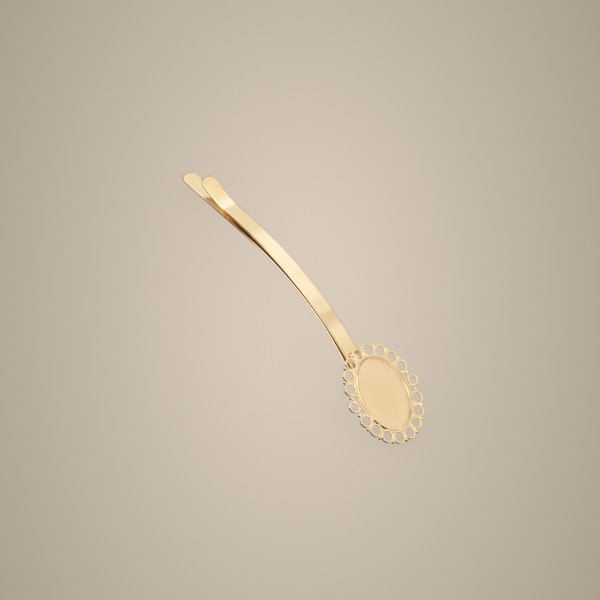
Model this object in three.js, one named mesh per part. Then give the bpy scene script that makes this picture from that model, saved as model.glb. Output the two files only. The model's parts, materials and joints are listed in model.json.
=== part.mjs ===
// A spring hair clip: a flat gilt strip folded back on itself, with an empty oval bezel cup
// soldered on its closed end, and a lace border of wire rings and grains round the cup.
// Millimetres. The clip is drawn with the cup's underside on the plane z = 0, the centre line
// of the strip on y = 0, and x along the cup away from the tips. It is then laid on the two
// places that it rests on, the lower tip and the outer end of the lace.

import * as THREE from 'three';

// Strip
const stripWidth = 4.2;
const stripThickness = 0.55;
const stripEdge = 0.12;
const archRadius = 86;
const archLength = 52;
const upperLength = 67.8;
const lowerLength = 73.6;
const straightBeforeFlare = 5.8;
const flareAngle = THREE.MathUtils.degToRad(15);
const flareRadius = 6;

// Gap between the legs: at the fold, where they come closest, and at the tips
const foldGap = 1.4;
const pinchGap = 0.36;
const pinchDistance = 22;
const tipGap = 0.85;

// Bezel cup
const cabochonLength = 18;
const cabochonWidth = 13;
const cupWall = 0.45;
const cupFloor = 0.35;
const seatDepth = 0.9;
const cupEdge = 0.12;

// Where the cup sits on the strip
const foldSetback = 2;
const cupSideShift = 2;
const solderThickness = 0.2;
const solderSideMargin = 0.3;
const solderEndMargin = 1.5;
const solderStart = 0.5;

// Lace border
const largeRingsPerQuarter = 4;
const smallRingDiameter = 1.65;
const smallRingSpread = 3.4;
const sideRingDiameter = 2.8;
const ringWire = 0.47;
const laceThickness = 0.55;
const laceLift = 0.12;
const grainDiameter = 0.84;

// Gap left at each soldered or split joint
const jointGap = 0.04;

// Fineness of the facets
const archStep = 1.6;
const bendSteps = 6;
const flareSteps = 4;
const tipSteps = 6;
const ovalSegments = 56;
const ringSegments = 20;
const wireSides = 6;
const grainSegments = 8;

const stripGold = new THREE.MeshStandardMaterial({ color: 0xe9cf98, roughness: 0.24, metalness: 1 });
const cupGold = new THREE.MeshStandardMaterial({ color: 0xe4c68c, roughness: 0.34, metalness: 1 });
const laceGold = new THREE.MeshStandardMaterial({ color: 0xe8cc92, roughness: 0.22, metalness: 1 });
const solderGold = new THREE.MeshStandardMaterial({ color: 0xd8b878, roughness: 0.4, metalness: 1 });

// A closed surface over a row of point loops of equal length. Each end is closed by a fan.
function loftLoops(loops) {
  const sides = loops[0].length;
  const positions = loops.flat().flatMap((point) => point.toArray());
  const triangles = [];
  for (let row = 0; row + 1 < loops.length; row += 1) {
    for (let side = 0; side < sides; side += 1) {
      const here = row * sides + side;
      const next = row * sides + (side + 1) % sides;
      triangles.push(here, next, next + sides, here, next + sides, here + sides);
    }
  }
  const closeEnd = (row, forwards) => {
    const centre = new THREE.Vector3();
    loops[row].forEach((point) => centre.addScaledVector(point, 1 / sides));
    const hub = positions.length / 3;
    positions.push(...centre.toArray());
    for (let side = 0; side < sides; side += 1) {
      const here = row * sides + side;
      const next = row * sides + (side + 1) % sides;
      triangles.push(...(forwards ? [hub, here, next] : [hub, next, here]));
    }
  };
  closeEnd(0, false);
  closeEnd(loops.length - 1, true);
  const geometry = new THREE.BufferGeometry();
  geometry.setAttribute('position', new THREE.Float32BufferAttribute(positions, 3));
  geometry.setIndex(triangles);
  geometry.computeVertexNormals();
  return geometry;
}

// Finds where a rising function crosses zero.
function solve(low, high, rising) {
  for (let halving = 0; halving < 60; halving += 1) {
    const middle = (low + high) / 2;
    if (rising(middle) > 0) high = middle;
    else low = middle;
  }
  return (low + high) / 2;
}

// Strip path. A station is a point on the middle of the strip's thickness, with the slope of
// the strip there: it heads towards the tips at an angle of slope below the plane of the cup.
const foldX = -foldSetback;
const upperStartZ = -solderThickness - stripThickness / 2;
const archAngle = archLength / archRadius;
const bendRadius = (foldGap + stripThickness) / 2;
const bendCentreZ = upperStartZ - bendRadius;

function upward(slope) {
  return new THREE.Vector2(-Math.sin(slope), Math.cos(slope));
}

function followBends(bends, distance) {
  const place = new THREE.Vector2(foldX, upperStartZ);
  let slope = 0;
  let left = distance;
  for (const { length, turn } of bends) {
    const run = Math.min(left, length);
    const turned = turn * run / length;
    const straightness = Math.abs(turned) > 1e-9 ? 2 * Math.sin(turned / 2) / turned : 1;
    const chord = run * straightness;
    const heading = slope + turned / 2;
    place.x -= chord * Math.cos(heading);
    place.y -= chord * Math.sin(heading);
    slope += turned;
    left -= run;
  }
  return { place, slope };
}

const flareLength = flareRadius * flareAngle;
const flareStart = archLength + straightBeforeFlare;
const arch = { length: archLength, turn: archAngle };
const upperBends = [
  arch,
  { length: straightBeforeFlare, turn: 0 },
  { length: flareLength, turn: -flareAngle },
  { length: upperLength - flareStart - flareLength, turn: 0 },
];
const lowerBends = [arch, { length: lowerLength - archLength, turn: 0 }];

function legGap(distance) {
  if (distance < pinchDistance) {
    return pinchGap + (foldGap - pinchGap) * (1 + Math.cos(Math.PI * distance / pinchDistance)) / 2;
  }
  const past = Math.min((distance - pinchDistance) / (archLength - pinchDistance), 1);
  return pinchGap + (tipGap - pinchGap) * THREE.MathUtils.smoothstep(past, 0, 1);
}

function upperStation(distance) {
  return followBends(upperBends, distance);
}

function lowerStation(distance) {
  const probe = 0.01;
  const { place, slope } = followBends(lowerBends, distance);
  const gapSlope = (legGap(distance + probe) - legGap(Math.max(distance - probe, 0))) / (2 * probe);
  place.addScaledVector(upward(slope), -stripThickness - legGap(distance));
  return { place, slope: slope + Math.atan(gapSlope) };
}

// Half of the fold, from its outermost point to the leg. Side is 1 for the upper half and -1
// for the lower one.
function bendStations(side) {
  const stations = [];
  const first = Math.asin(jointGap / 2 / bendRadius);
  for (let step = 0; step < bendSteps; step += 1) {
    const round = THREE.MathUtils.lerp(first, Math.PI / 2, step / bendSteps);
    const place = new THREE.Vector2(
      foldX + bendRadius * Math.cos(round),
      bendCentreZ + side * bendRadius * Math.sin(round),
    );
    stations.push({ place, slope: side * (round - Math.PI / 2), half: stripWidth / 2 });
  }
  return stations;
}

// A leg from the fold to its half-round tip, with closer stations along its fine part.
function legStations(length, finePart, stationAt) {
  const tipRadius = stripWidth / 2;
  const distances = [];
  const body = length - tipRadius;
  const coarseSteps = Math.ceil(finePart.from / archStep);
  for (let step = 0; step < coarseSteps; step += 1) distances.push(finePart.from * step / coarseSteps);
  for (let step = 0; step < finePart.steps; step += 1) {
    distances.push(THREE.MathUtils.lerp(finePart.from, finePart.to, step / finePart.steps));
  }
  const restSteps = Math.max(1, Math.ceil((body - finePart.to) / archStep));
  for (let step = 0; step < restSteps; step += 1) {
    distances.push(THREE.MathUtils.lerp(finePart.to, body, step / restSteps));
  }
  const stations = distances.map((distance) => ({ ...stationAt(distance), half: tipRadius }));
  for (let step = 0; step < tipSteps; step += 1) {
    const round = Math.PI / 2 * step / tipSteps;
    const distance = body + tipRadius * Math.sin(round);
    stations.push({ ...stationAt(distance), half: tipRadius * Math.cos(round) });
  }
  return stations;
}

function stripSection({ place, slope, half }) {
  const side = Math.min(stripEdge, half / 2);
  const face = stripThickness / 2;
  const up = upward(slope);
  const corners = [
    [half, stripEdge - face], [half - side, -face], [side - half, -face], [-half, stripEdge - face],
    [-half, face - stripEdge], [side - half, face], [half - side, face], [half, face - stripEdge],
  ];
  return corners.map(([across, high]) => new THREE.Vector3(
    place.x + up.x * high,
    across,
    place.y + up.y * high,
  ));
}

function makeUpperLeg() {
  const flare = { from: flareStart, to: flareStart + flareLength, steps: flareSteps };
  const stations = [...bendStations(1), ...legStations(upperLength, flare, upperStation)];
  return loftLoops(stations.map(stripSection));
}

function makeLowerLeg() {
  const closing = { from: archLength, to: archLength + archStep, steps: 1 };
  const stations = [...bendStations(-1), ...legStations(lowerLength, closing, lowerStation)];
  return loftLoops(stations.map(stripSection));
}

// Cup. Every oval is the outline of the cabochon moved outwards by an offset.
const seatHalfLength = cabochonLength / 2;
const seatHalfWidth = cabochonWidth / 2;
const rimZ = cupFloor + seatDepth;

function ovalPoint(angle, offset) {
  const outward = new THREE.Vector2(seatHalfWidth * Math.cos(angle), seatHalfLength * Math.sin(angle));
  outward.normalize();
  return new THREE.Vector2(
    seatHalfLength * Math.cos(angle) + outward.x * offset,
    seatHalfWidth * Math.sin(angle) + outward.y * offset,
  );
}

function ovalLoop(offset, z) {
  const loop = [];
  for (let step = 0; step < ovalSegments; step += 1) {
    const point = ovalPoint(2 * Math.PI * step / ovalSegments, offset);
    loop.push(new THREE.Vector3(point.x, point.y, z));
  }
  return loop;
}

function makeCup() {
  return loftLoops([
    ovalLoop(cupWall - cupEdge, 0),
    ovalLoop(cupWall, cupEdge),
    ovalLoop(cupWall, rimZ - cupEdge),
    ovalLoop(cupWall - cupEdge, rimZ),
    ovalLoop(cupEdge, rimZ),
    ovalLoop(0, rimZ - cupEdge),
    ovalLoop(0, cupFloor),
  ]);
}

// Solder fills the wedge between the arched strip and the flat underside of the cup.
function makeSolder() {
  const half = stripWidth / 2 - solderSideMargin;
  const reach = seatHalfLength + cupWall - solderEndMargin - foldSetback;
  const steps = Math.ceil((reach - solderStart) / archStep);
  const loops = [];
  for (let step = 0; step <= steps; step += 1) {
    const { place, slope } = upperStation(THREE.MathUtils.lerp(solderStart, reach, step / steps));
    const foot = place.addScaledVector(upward(slope), stripThickness / 2 + jointGap);
    const corners = [[half, foot.y], [-half, foot.y], [-half, -jointGap], [half, -jointGap]];
    loops.push(corners.map(([across, z]) => new THREE.Vector3(foot.x, across, z)));
  }
  return loftLoops(loops);
}

// Lace. In each quarter, large rings and then one small ring touch the cup and each other. The
// large rings' size is the one that brings the small rings to their spread. Between the two small
// rings on each side of the cup sits a side ring.
const smallRadius = smallRingDiameter / 2;
const sideRadius = sideRingDiameter / 2;
const grainRadius = grainDiameter / 2;
const laceZ = laceLift + laceThickness / 2;

function ringCentre(angle, radius) {
  return ovalPoint(angle, cupWall + jointGap + radius);
}

function placeQuarter(largeRadius) {
  const radii = Array(largeRingsPerQuarter).fill(largeRadius).concat(smallRadius);
  const beside = (angle) => ringCentre(angle, largeRadius).y - largeRadius - jointGap / 2;
  let angle = solve(0, Math.PI / 2, beside);
  const rings = [{ centre: ringCentre(angle, largeRadius), radius: largeRadius }];
  for (const radius of radii.slice(1)) {
    const last = rings.at(-1);
    const apart = last.radius + radius + jointGap;
    const clearOfLast = (next) => ringCentre(next, radius).distanceTo(last.centre) - apart;
    angle = solve(angle, angle + Math.PI / 2, clearOfLast);
    rings.push({ centre: ringCentre(angle, radius), radius });
  }
  return rings;
}

const overshoot = (radius) => smallRingSpread / 2 - placeQuarter(radius).at(-1).centre.x;
const largeRadius = solve(ringWire, seatHalfWidth, overshoot);
const quarter = placeQuarter(largeRadius);
const smallRing = quarter.at(-1);
const sideReach = Math.sqrt((smallRadius + sideRadius + jointGap) ** 2 - smallRing.centre.x ** 2);
const sideRing = { centre: new THREE.Vector2(0, smallRing.centre.y + sideReach), radius: sideRadius };

// The grain in the outer notch between two rings.
function notchGrain(ringA, ringB) {
  const reachA = ringA.radius + grainRadius + jointGap;
  const reachB = ringB.radius + grainRadius + jointGap;
  const line = ringB.centre.clone().sub(ringA.centre);
  const span = line.length();
  line.normalize();
  const along = (span ** 2 + reachA ** 2 - reachB ** 2) / (2 * span);
  const outward = new THREE.Vector2(line.y, -line.x);
  return ringA.centre.clone()
    .addScaledVector(line, along)
    .addScaledVector(outward, Math.sqrt(reachA ** 2 - along ** 2));
}

const endRing = quarter[0];
const twinCentre = new THREE.Vector2(endRing.centre.x, -endRing.centre.y);
const endGrain = notchGrain({ centre: twinCentre, radius: largeRadius }, endRing);
const quarterGrains = quarter.slice(1).map((ring, index) => notchGrain(quarter[index], ring));

function makeRing(radius) {
  const wireRadius = ringWire / 2;
  const geometry = new THREE.TorusGeometry(radius - wireRadius, wireRadius, wireSides, ringSegments);
  return geometry.scale(1, 1, laceThickness / ringWire);
}

function makeGrain() {
  return new THREE.SphereGeometry(grainRadius, grainSegments, grainSegments - 2);
}

function addMesh(group, name, geometry, material) {
  const mesh = new THREE.Mesh(geometry, material);
  mesh.name = name;
  group.add(mesh);
  return mesh;
}

function addLace(group, name, geometry, x, y) {
  addMesh(group, name, geometry, laceGold).position.set(x, y, laceZ);
}

// Quarters in order round the cup, as signs along its length and across it.
const quarterSigns = [[1, 1], [-1, 1], [-1, -1], [1, -1]];
const twoDigits = (count) => String(count).padStart(2, '0');

function makeSetting() {
  const setting = new THREE.Group();
  setting.position.y = cupSideShift;
  addMesh(setting, 'bezel_cup', makeCup(), cupGold);
  let largeCount = 0;
  let grainCount = 0;
  quarterSigns.forEach(([alongSign, acrossSign], index) => {
    for (const { centre, radius } of quarter) {
      const large = radius === largeRadius;
      const name = large ? `lace_ring_${twoDigits(largeCount += 1)}` : `small_ring_${index + 1}`;
      addLace(setting, name, makeRing(radius), centre.x * alongSign, centre.y * acrossSign);
    }
    for (const place of quarterGrains) {
      const name = `lace_grain_${twoDigits(grainCount += 1)}`;
      addLace(setting, name, makeGrain(), place.x * alongSign, place.y * acrossSign);
    }
  });
  [1, -1].forEach((sign, index) => {
    addLace(setting, `side_ring_${index + 1}`, makeRing(sideRadius), 0, sideRing.centre.y * sign);
    addLace(setting, `end_grain_${index + 1}`, makeGrain(), endGrain.x * sign, 0);
  });
  return setting;
}

const drawn = new THREE.Group();
const lowerLeg = addMesh(drawn, 'lower_leg', makeLowerLeg(), stripGold);
addMesh(drawn, 'upper_leg', makeUpperLeg(), stripGold);
addMesh(drawn, 'solder_joint', makeSolder(), solderGold);
const setting = makeSetting();
drawn.add(setting);

// The tilt at which the lower tip and the setting reach equally far down.
function lowest(object, tilt) {
  let depth = Infinity;
  const point = new THREE.Vector3();
  object.updateWorldMatrix(true, true);
  object.traverse((mesh) => {
    if (!mesh.isMesh) return;
    const corners = mesh.geometry.getAttribute('position');
    for (let index = 0; index < corners.count; index += 1) {
      point.fromBufferAttribute(corners, index).applyMatrix4(mesh.matrixWorld);
      depth = Math.min(depth, point.z * Math.cos(tilt) - point.x * Math.sin(tilt));
    }
  });
  return depth;
}

const restTilt = solve(0, Math.PI / 3, (tilt) => lowest(lowerLeg, tilt) - lowest(setting, tilt));
drawn.rotation.y = restTilt;

const clip = new THREE.Group();
clip.add(drawn);
clip.updateMatrixWorld(true);
const bounds = new THREE.Box3().setFromObject(clip, true);
const middle = bounds.getCenter(new THREE.Vector3());
drawn.position.set(-middle.x, -middle.y, -bounds.min.z);
clip.updateMatrixWorld(true);

// The fold's outermost line, about which the legs open, and the middle of the cabochon's seat.
const foldLine = new THREE.Vector3(foldX + bendRadius + stripThickness / 2, 0, bendCentreZ);
const seatCentre = new THREE.Vector3(0, cupSideShift, cupFloor);
clip.userData.foldLine = drawn.localToWorld(foldLine).toArray();
clip.userData.seatCentre = drawn.localToWorld(seatCentre).toArray();
clip.userData.seatNormal = new THREE.Vector3(0, 0, 1).transformDirection(drawn.matrixWorld).toArray();

export default clip;
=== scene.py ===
import json
import math
import random

import bmesh
import bpy
import numpy as np
from mathutils import Matrix, Vector


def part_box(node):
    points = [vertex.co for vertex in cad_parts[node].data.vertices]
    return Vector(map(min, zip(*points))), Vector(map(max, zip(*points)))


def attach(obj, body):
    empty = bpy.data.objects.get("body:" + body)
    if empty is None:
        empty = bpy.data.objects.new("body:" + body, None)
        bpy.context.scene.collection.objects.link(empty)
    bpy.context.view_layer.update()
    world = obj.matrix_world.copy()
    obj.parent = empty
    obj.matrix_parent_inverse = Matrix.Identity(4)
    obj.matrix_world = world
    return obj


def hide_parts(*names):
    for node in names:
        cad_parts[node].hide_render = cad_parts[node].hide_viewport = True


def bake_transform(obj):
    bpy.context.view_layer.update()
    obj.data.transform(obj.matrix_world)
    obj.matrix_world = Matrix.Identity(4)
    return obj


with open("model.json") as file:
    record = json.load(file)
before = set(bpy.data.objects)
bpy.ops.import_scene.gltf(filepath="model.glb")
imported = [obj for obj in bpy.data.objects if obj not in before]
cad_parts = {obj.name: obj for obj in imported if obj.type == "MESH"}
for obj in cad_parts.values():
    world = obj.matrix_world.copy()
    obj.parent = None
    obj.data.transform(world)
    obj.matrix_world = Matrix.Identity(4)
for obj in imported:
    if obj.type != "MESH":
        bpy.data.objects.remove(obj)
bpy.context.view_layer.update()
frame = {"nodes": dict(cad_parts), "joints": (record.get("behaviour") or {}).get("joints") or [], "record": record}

mm = 0.001
weldReach = 0.001 * mm   # points this close become one
tiny = 1e-9              # keeps a division away from zero
record = frame["record"]
seat = next(mount for mount in record["mounts"] if mount["name"] == "cabochon_seat")
spring = next(joint for joint in frame["joints"] if joint["name"] == "fold_spring")

# The cup's own axes: origin on the seat, X along the cup away from the tips, Z out of the seat.
seatUp = Vector(seat["axis"]).normalized()
seatAlong = Vector((seatUp.z, 0, -seatUp.x))
seatAcross = seatUp.cross(seatAlong)
cupToRest = Matrix((seatAlong, seatAcross, seatUp)).transposed().to_4x4()
cupToRest.translation = Vector(seat["pos_m"])
restToCup = cupToRest.inverted()
foldEdge = restToCup @ Vector(spring["pos_m"])   # middle of the fold's outermost line


# Modelling helpers

def startEditing(obj):
    bpy.context.view_layer.objects.active = obj
    bpy.ops.object.mode_set(mode="EDIT")


def stopEditing():
    bpy.ops.object.mode_set(mode="OBJECT")


def clearSelection():
    if bpy.context.mode != "OBJECT":
        stopEditing()
    bpy.ops.object.select_all(action="DESELECT")


def takeOnly(obj):
    clearSelection()
    obj.select_set(True)
    bpy.context.view_layer.objects.active = obj


def namedPiece(name):
    obj = bpy.context.active_object
    obj.name = name
    obj.data.name = name
    return obj


def chooseFaces(obj, test):
    bpy.ops.mesh.select_mode(type="FACE")
    bpy.ops.mesh.select_all(action="DESELECT")
    mesh = bmesh.from_edit_mesh(obj.data)
    for face in mesh.faces:
        face.select_set(test(face.calc_center_median(), face.normal))
    bmesh.update_edit_mesh(obj.data)


def chooseEdges(obj, test):
    bpy.ops.mesh.select_mode(type="EDGE")
    bpy.ops.mesh.select_all(action="DESELECT")
    mesh = bmesh.from_edit_mesh(obj.data)
    mesh.normal_update()
    for edge in mesh.edges:
        middle = (edge.verts[0].co + edge.verts[1].co) / 2
        edge.select_set(test(middle, edge.calc_face_angle(0)))
    bmesh.update_edit_mesh(obj.data)


def evenNormals():
    bpy.ops.mesh.select_all(action="SELECT")
    bpy.ops.mesh.remove_doubles(threshold=weldReach)
    bpy.ops.mesh.normals_make_consistent(inside=False)


def extrudeBy(offset):
    bpy.ops.mesh.extrude_region_move(TRANSFORM_OT_translate={"value": offset})


def roundEdges(size, steps):
    bpy.ops.mesh.bevel(offset=size, segments=steps, affect="EDGES", clamp_overlap=False)


def finishWith(obj, kind, **settings):
    takeOnly(obj)
    modifier = obj.modifiers.new(kind.lower(), kind)
    for key, value in settings.items():
        setattr(modifier, key, value)
    bpy.ops.object.modifier_apply(modifier=modifier.name)


def smoothShading(obj, angle):
    takeOnly(obj)
    bpy.ops.object.shade_smooth_by_angle(angle=angle)


def settle(obj):   # from the cup's axes to the clip's own place
    takeOnly(obj)
    obj.matrix_world = cupToRest
    bpy.ops.object.transform_apply(location=True, rotation=True, scale=True)


def saveMeasures(obj, measures):   # numbers from 0 to 1 for each point, for the finish to read
    for name, values in measures.items():
        column = obj.data.attributes.new(name, "FLOAT", "POINT")
        column.data.foreach_set("value", np.clip(values, 0, 1).astype(np.float32))


def pointsAndNormals(mesh):
    count = len(mesh.vertices)
    points = np.empty(count * 3)
    mesh.vertices.foreach_get("co", points)
    normals = np.empty(count * 3)
    mesh.vertices.foreach_get("normal", normals)
    return points.reshape(-1, 3), normals.reshape(-1, 3)


def smoothStep(values, low, high):
    share = np.clip((values - low) / (high - low), 0, 1)
    return share * share * (3 - 2 * share)


def hollowness(mesh, reach, rounds):   # above 0 where a surface is hollow, below 0 where it stands proud
    count = len(mesh.vertices)
    points, normals = pointsAndNormals(mesh)
    ends = np.empty(len(mesh.edges) * 2, dtype=np.int64)
    mesh.edges.foreach_get("vertices", ends)
    first, second = ends[0::2], ends[1::2]
    shares = np.bincount(ends, minlength=count)
    span = points[second] - points[first]
    lengths = np.maximum(np.linalg.norm(span, axis=1), tiny)
    bend = np.bincount(first, np.einsum("ij,ij->i", span, normals[first]) / lengths**2, count)
    bend -= np.bincount(second, np.einsum("ij,ij->i", span, normals[second]) / lengths**2, count)
    bend /= np.maximum(shares, 1)
    for _ in range(rounds):
        spread = np.bincount(first, bend[second], count) + np.bincount(second, bend[first], count)
        bend = 0.5 * bend + 0.5 * spread / np.maximum(shares, 1)
    return bend * reach


# Shader helpers

class Shade:
    def __init__(self, maker, socket):
        self.maker = maker
        self.socket = socket

    def sum(self, operation, first, second):
        return self.maker.node("ShaderNodeMath", {"operation": operation}, {0: first, 1: second})

    def __add__(self, other):
        return self.sum("ADD", self, other)

    def __radd__(self, other):
        return self.sum("ADD", other, self)

    def __sub__(self, other):
        return self.sum("SUBTRACT", self, other)

    def __rsub__(self, other):
        return self.sum("SUBTRACT", other, self)

    def __mul__(self, other):
        return self.sum("MULTIPLY", self, other)

    def __rmul__(self, other):
        return self.sum("MULTIPLY", other, self)

    def __truediv__(self, other):
        return self.sum("DIVIDE", self, other)

    def __pow__(self, other):
        return self.sum("POWER", self, other)


class Finish:
    def __init__(self, tree):
        self.tree = tree
        self.tree.nodes.clear()

    def node(self, kind, settings, sockets, output=0):
        made = self.tree.nodes.new(kind)
        for key, value in settings.items():
            if key == "stops":
                self.setStops(made.color_ramp, value)
            else:
                setattr(made, key, value)
        for key, value in sockets.items():
            if isinstance(value, Shade):
                self.tree.links.new(value.socket, made.inputs[key])
            else:
                made.inputs[key].default_value = value
        return Shade(self, made.outputs[output]) if made.outputs else made

    def setStops(self, ramp, stops):
        while len(ramp.elements) < len(stops):
            ramp.elements.new(1)
        for element, (place, colour) in zip(ramp.elements, stops):
            element.position = place
            element.color = colour

    def mixColours(self, share, first, second):
        return self.node("ShaderNodeMix", {"data_type": "RGBA"}, {0: share, 6: first, 7: second}, 2)

    def spread(self, value, low, high, toLow=0.0, toHigh=1.0):   # a smooth step between two values
        sockets = {0: value, 1: low, 2: high, 3: toLow, 4: toHigh}
        return self.node("ShaderNodeMapRange", {"interpolation_type": "SMOOTHSTEP"}, sockets)

    def noise(self, place, size, detail=2.0, roughness=0.5, distortion=0.0):
        sockets = {"Vector": place, "Scale": 1 / size, "Detail": detail}
        sockets.update({"Roughness": roughness, "Distortion": distortion})
        return self.node("ShaderNodeTexNoise", {}, sockets)

    def stretched(self, place, scale):
        return self.node("ShaderNodeMapping", {}, {"Vector": place, "Scale": scale})

    def along(self, place, direction):   # how far a point lies along a direction
        return self.node("ShaderNodeVectorMath", {"operation": "DOT_PRODUCT"}, {0: place, 1: direction}, 1)

    def attribute(self, name):
        return self.node("ShaderNodeAttribute", {"attribute_name": name}, {}, "Fac")

    def objectPlace(self):
        return self.node("ShaderNodeTexCoord", {}, {}, "Object")

    def surface(self, sockets):
        shader = self.node("ShaderNodeBsdfPrincipled", {}, sockets)
        self.node("ShaderNodeOutputMaterial", {}, {"Surface": shader})


def newFinish(name):
    material = bpy.data.materials.new(name)
    material.use_nodes = True
    return material, Finish(material.node_tree)


def tone(red, green, blue):   # a colour as seen on a screen, 0 to 255, as linear light
    def linear(value):
        share = value / 255
        return share / 12.92 if share <= 0.04045 else ((share + 0.055) / 1.055) ** 2.4
    return (linear(red), linear(green), linear(blue), 1)


def wear(obj, material):
    obj.data.materials.clear()
    obj.data.materials.append(material)


def completePiece(obj, measures, material):
    saveMeasures(obj, measures)
    settle(obj)
    wear(obj, material)


# Gold plating: a slow drift of colour, smudges, fine polishing lines, tarnish with painted shade in hollows, paler
# proud edges, and layers of painted light and shade

plating = {   # from which to which value of its noise each of them shows
    "drift": (0.35, 0.65),
    "smudge": (0.4, 0.7),
    "speck": (0.70, 0.78),
    "patch": (0.42, 0.58),
    "noiseMiddle": 0.5,
    "markFade": (0.5, 1.0),    # a mark fades between these shares of its size
    "markRagged": 1.2,
}


def goldPlating(name, look):
    material, make = newFinish(name)
    place = make.objectPlace()
    drift = make.noise(place, look["driftSize"], detail=2)
    smudge = make.noise(place, look["smudgeSize"], detail=4, roughness=0.6, distortion=0.8)
    brushed = make.stretched(place, look["lineStretch"])
    lines = make.noise(brushed, look["lineSize"], detail=3, roughness=0.6)
    specks = make.spread(make.noise(place, look["speckSize"], detail=1), *plating["speck"])
    patches = make.spread(make.noise(place, look["patchSize"], detail=2), *plating["patch"])
    colour = make.mixColours(make.spread(drift, *plating["drift"]), look["pale"], look["deep"])
    roughness = look["roughness"] + make.spread(smudge, *plating["smudge"]) * look["smudged"]
    roughness = roughness + (lines - plating["noiseMiddle"]) * look["lineGloss"]
    # each layer lays a tone where its measure is 1; most of them are painted light and shade
    for measure, coat in look["layers"].items():
        share = make.attribute(measure)
        if coat["broken"]:
            share = share * (1 - coat["broken"] + patches * coat["broken"])
        if coat["share"]:
            colour = make.mixColours(share * coat["share"], colour, coat["tone"])
        if coat["rough"]:
            roughness = roughness + share * coat["rough"]
    for mark in look["marks"]:
        colour = make.mixColours(wornMark(make, place, mark), colour, mark["tone"])
    height = make.noise(place, look["waveSize"], detail=1) * look["wave"] + lines * look["lineDepth"]
    make.surface({
        "Metallic": 1.0,
        "Specular Tint": look["edgeTint"],
        "Base Color": make.mixColours(specks * look["specked"], colour, look["speckTone"]),
        "Roughness": roughness,
        "Normal": make.node("ShaderNodeBump", {}, {"Height": height, "Strength": 1.0, "Distance": 1.0}),
    })
    return material


def wornMark(make, place, mark):   # a small ragged spot
    ragged = make.noise(place, mark["ragged"], detail=2) - plating["noiseMiddle"]
    away = make.node("ShaderNodeVectorMath", {"operation": "SUBTRACT"}, {0: place, 1: mark["place"]})
    away = make.node("ShaderNodeVectorMath", {"operation": "MULTIPLY"}, {0: away, 1: mark["scale"]})
    far = make.node("ShaderNodeVectorMath", {"operation": "LENGTH"}, {0: away}, 1)
    return make.spread(far + ragged * plating["markRagged"], *plating["markFade"], mark["share"], 0.0)


def layer(colour, share, broken=0.0, rough=0.0):   # a tone where a measure is 1, in patches if broken
    return {"tone": (*colour, 1), "share": share, "broken": broken, "rough": rough}


darkDot = {"scale": (5200, 4600, 300), "ragged": 0.2 * mm, "tone": (0.52, 0.36, 0.12, 1), "share": 0.7}
stripLook = {
    "pale": (0.95, 0.81, 0.58, 1), "deep": (0.92, 0.76, 0.51, 1),
    "speckTone": (0.42, 0.24, 0.09, 1), "specked": 0.12, "edgeTint": (0.85, 0.66, 0.42, 1),
    "roughness": 0.08, "smudged": 0.04, "lineGloss": 0.04,
    "driftSize": 9 * mm, "smudgeSize": 5 * mm, "speckSize": 0.35 * mm, "patchSize": 3 * mm,
    "lineStretch": (0.02, 1, 0.02), "lineSize": 0.25 * mm, "lineDepth": 0.0008 * mm,
    "waveSize": 7 * mm, "wave": 0.05 * mm,
    "layers": {
        "amber": layer((0.89, 0.71, 0.40), 0.9),
        # inner, tucked and deep: painted reflection and painted shade of the gap, on the faces that face the other
        # leg
        "inner": layer((1.0, 0.81, 0.52), 1.0),
        "tucked": layer((0.86, 0.62, 0.30), 1.0, rough=0.40),
        "deep": layer((0.62, 0.34, 0.12), 1.0, rough=0.2),
        # side: painted shade on the side faces
        "side": layer((0.88, 0.60, 0.33), 0.9),
        # ridge: painted highlight along the edges
        "ridge": layer((0.99, 0.93, 0.82), 0.85),
        # hollow: tarnish together with painted shade in the hollows
        "hollow": layer((0.42, 0.24, 0.09), 0.5, broken=0.5, rough=0.15),
        # dull: painted shade along the edges and flanks
        "dull": layer((0.10, 0.045, 0.006), 0.95, broken=0.2, rough=0.10),
        # cover: painted light on the top face under the lace
        "cover": layer((1.0, 0.92, 0.76), 1.0, rough=0.30),
    },
    "marks": (   # a worn spot near the upper tip: a yellow stain, an orange streak and two dark dots
        {"place": (-0.0331, -0.0009, 0.0051), "scale": (850, 1000, 300), "ragged": 0.4 * mm,
         "tone": (0.93, 0.74, 0.35, 1), "share": 0.6},
        {"place": (-0.03446, -0.0009, 0.00551), "scale": (2600, 1200, 300), "ragged": 0.4 * mm,
         "tone": (0.93, 0.56, 0.24, 1), "share": 0.8},
        {"place": (-0.0333, -0.0018, 0.0052), **darkDot},
        {"place": (-0.03334, -0.0006, 0.0052), **darkDot},
    ),
}
cupLook = dict(stripLook)
cupLook.update({
    "marks": (),
    "pale": (0.93, 0.785, 0.56, 1), "deep": (0.91, 0.755, 0.52, 1),
    "roughness": 0.16, "smudged": 0.06, "lineGloss": 0.03, "patchSize": 1.6 * mm,
    "lineStretch": (1, 1, 1), "lineSize": 0.2 * mm,
    "waveSize": 5 * mm, "wave": 0.03 * mm,
    "layers": {
        "amber": layer((0.895, 0.715, 0.45), 0.9),
        "satin": {"share": 0, "broken": 0, "rough": 0.14},
        # inner: painted light, the inner wall paler
        "inner": layer((0.96, 0.91, 0.83), 1.0),
        "ridge": layer((0.98, 0.90, 0.75), 0.6),
        # hollow: tarnish together with painted shade in hollows, at the lace's crease, under the rim and on the
        # wall
        "hollow": layer((0.26, 0.14, 0.05), 0.9, broken=0.35, rough=0.15),
        # slit: a painted black shadow of a gap beside the lace
        "slit": layer((0.035, 0.016, 0.0), 1.0, rough=0.20),
    },
})
laceLook = dict(cupLook)
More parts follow.
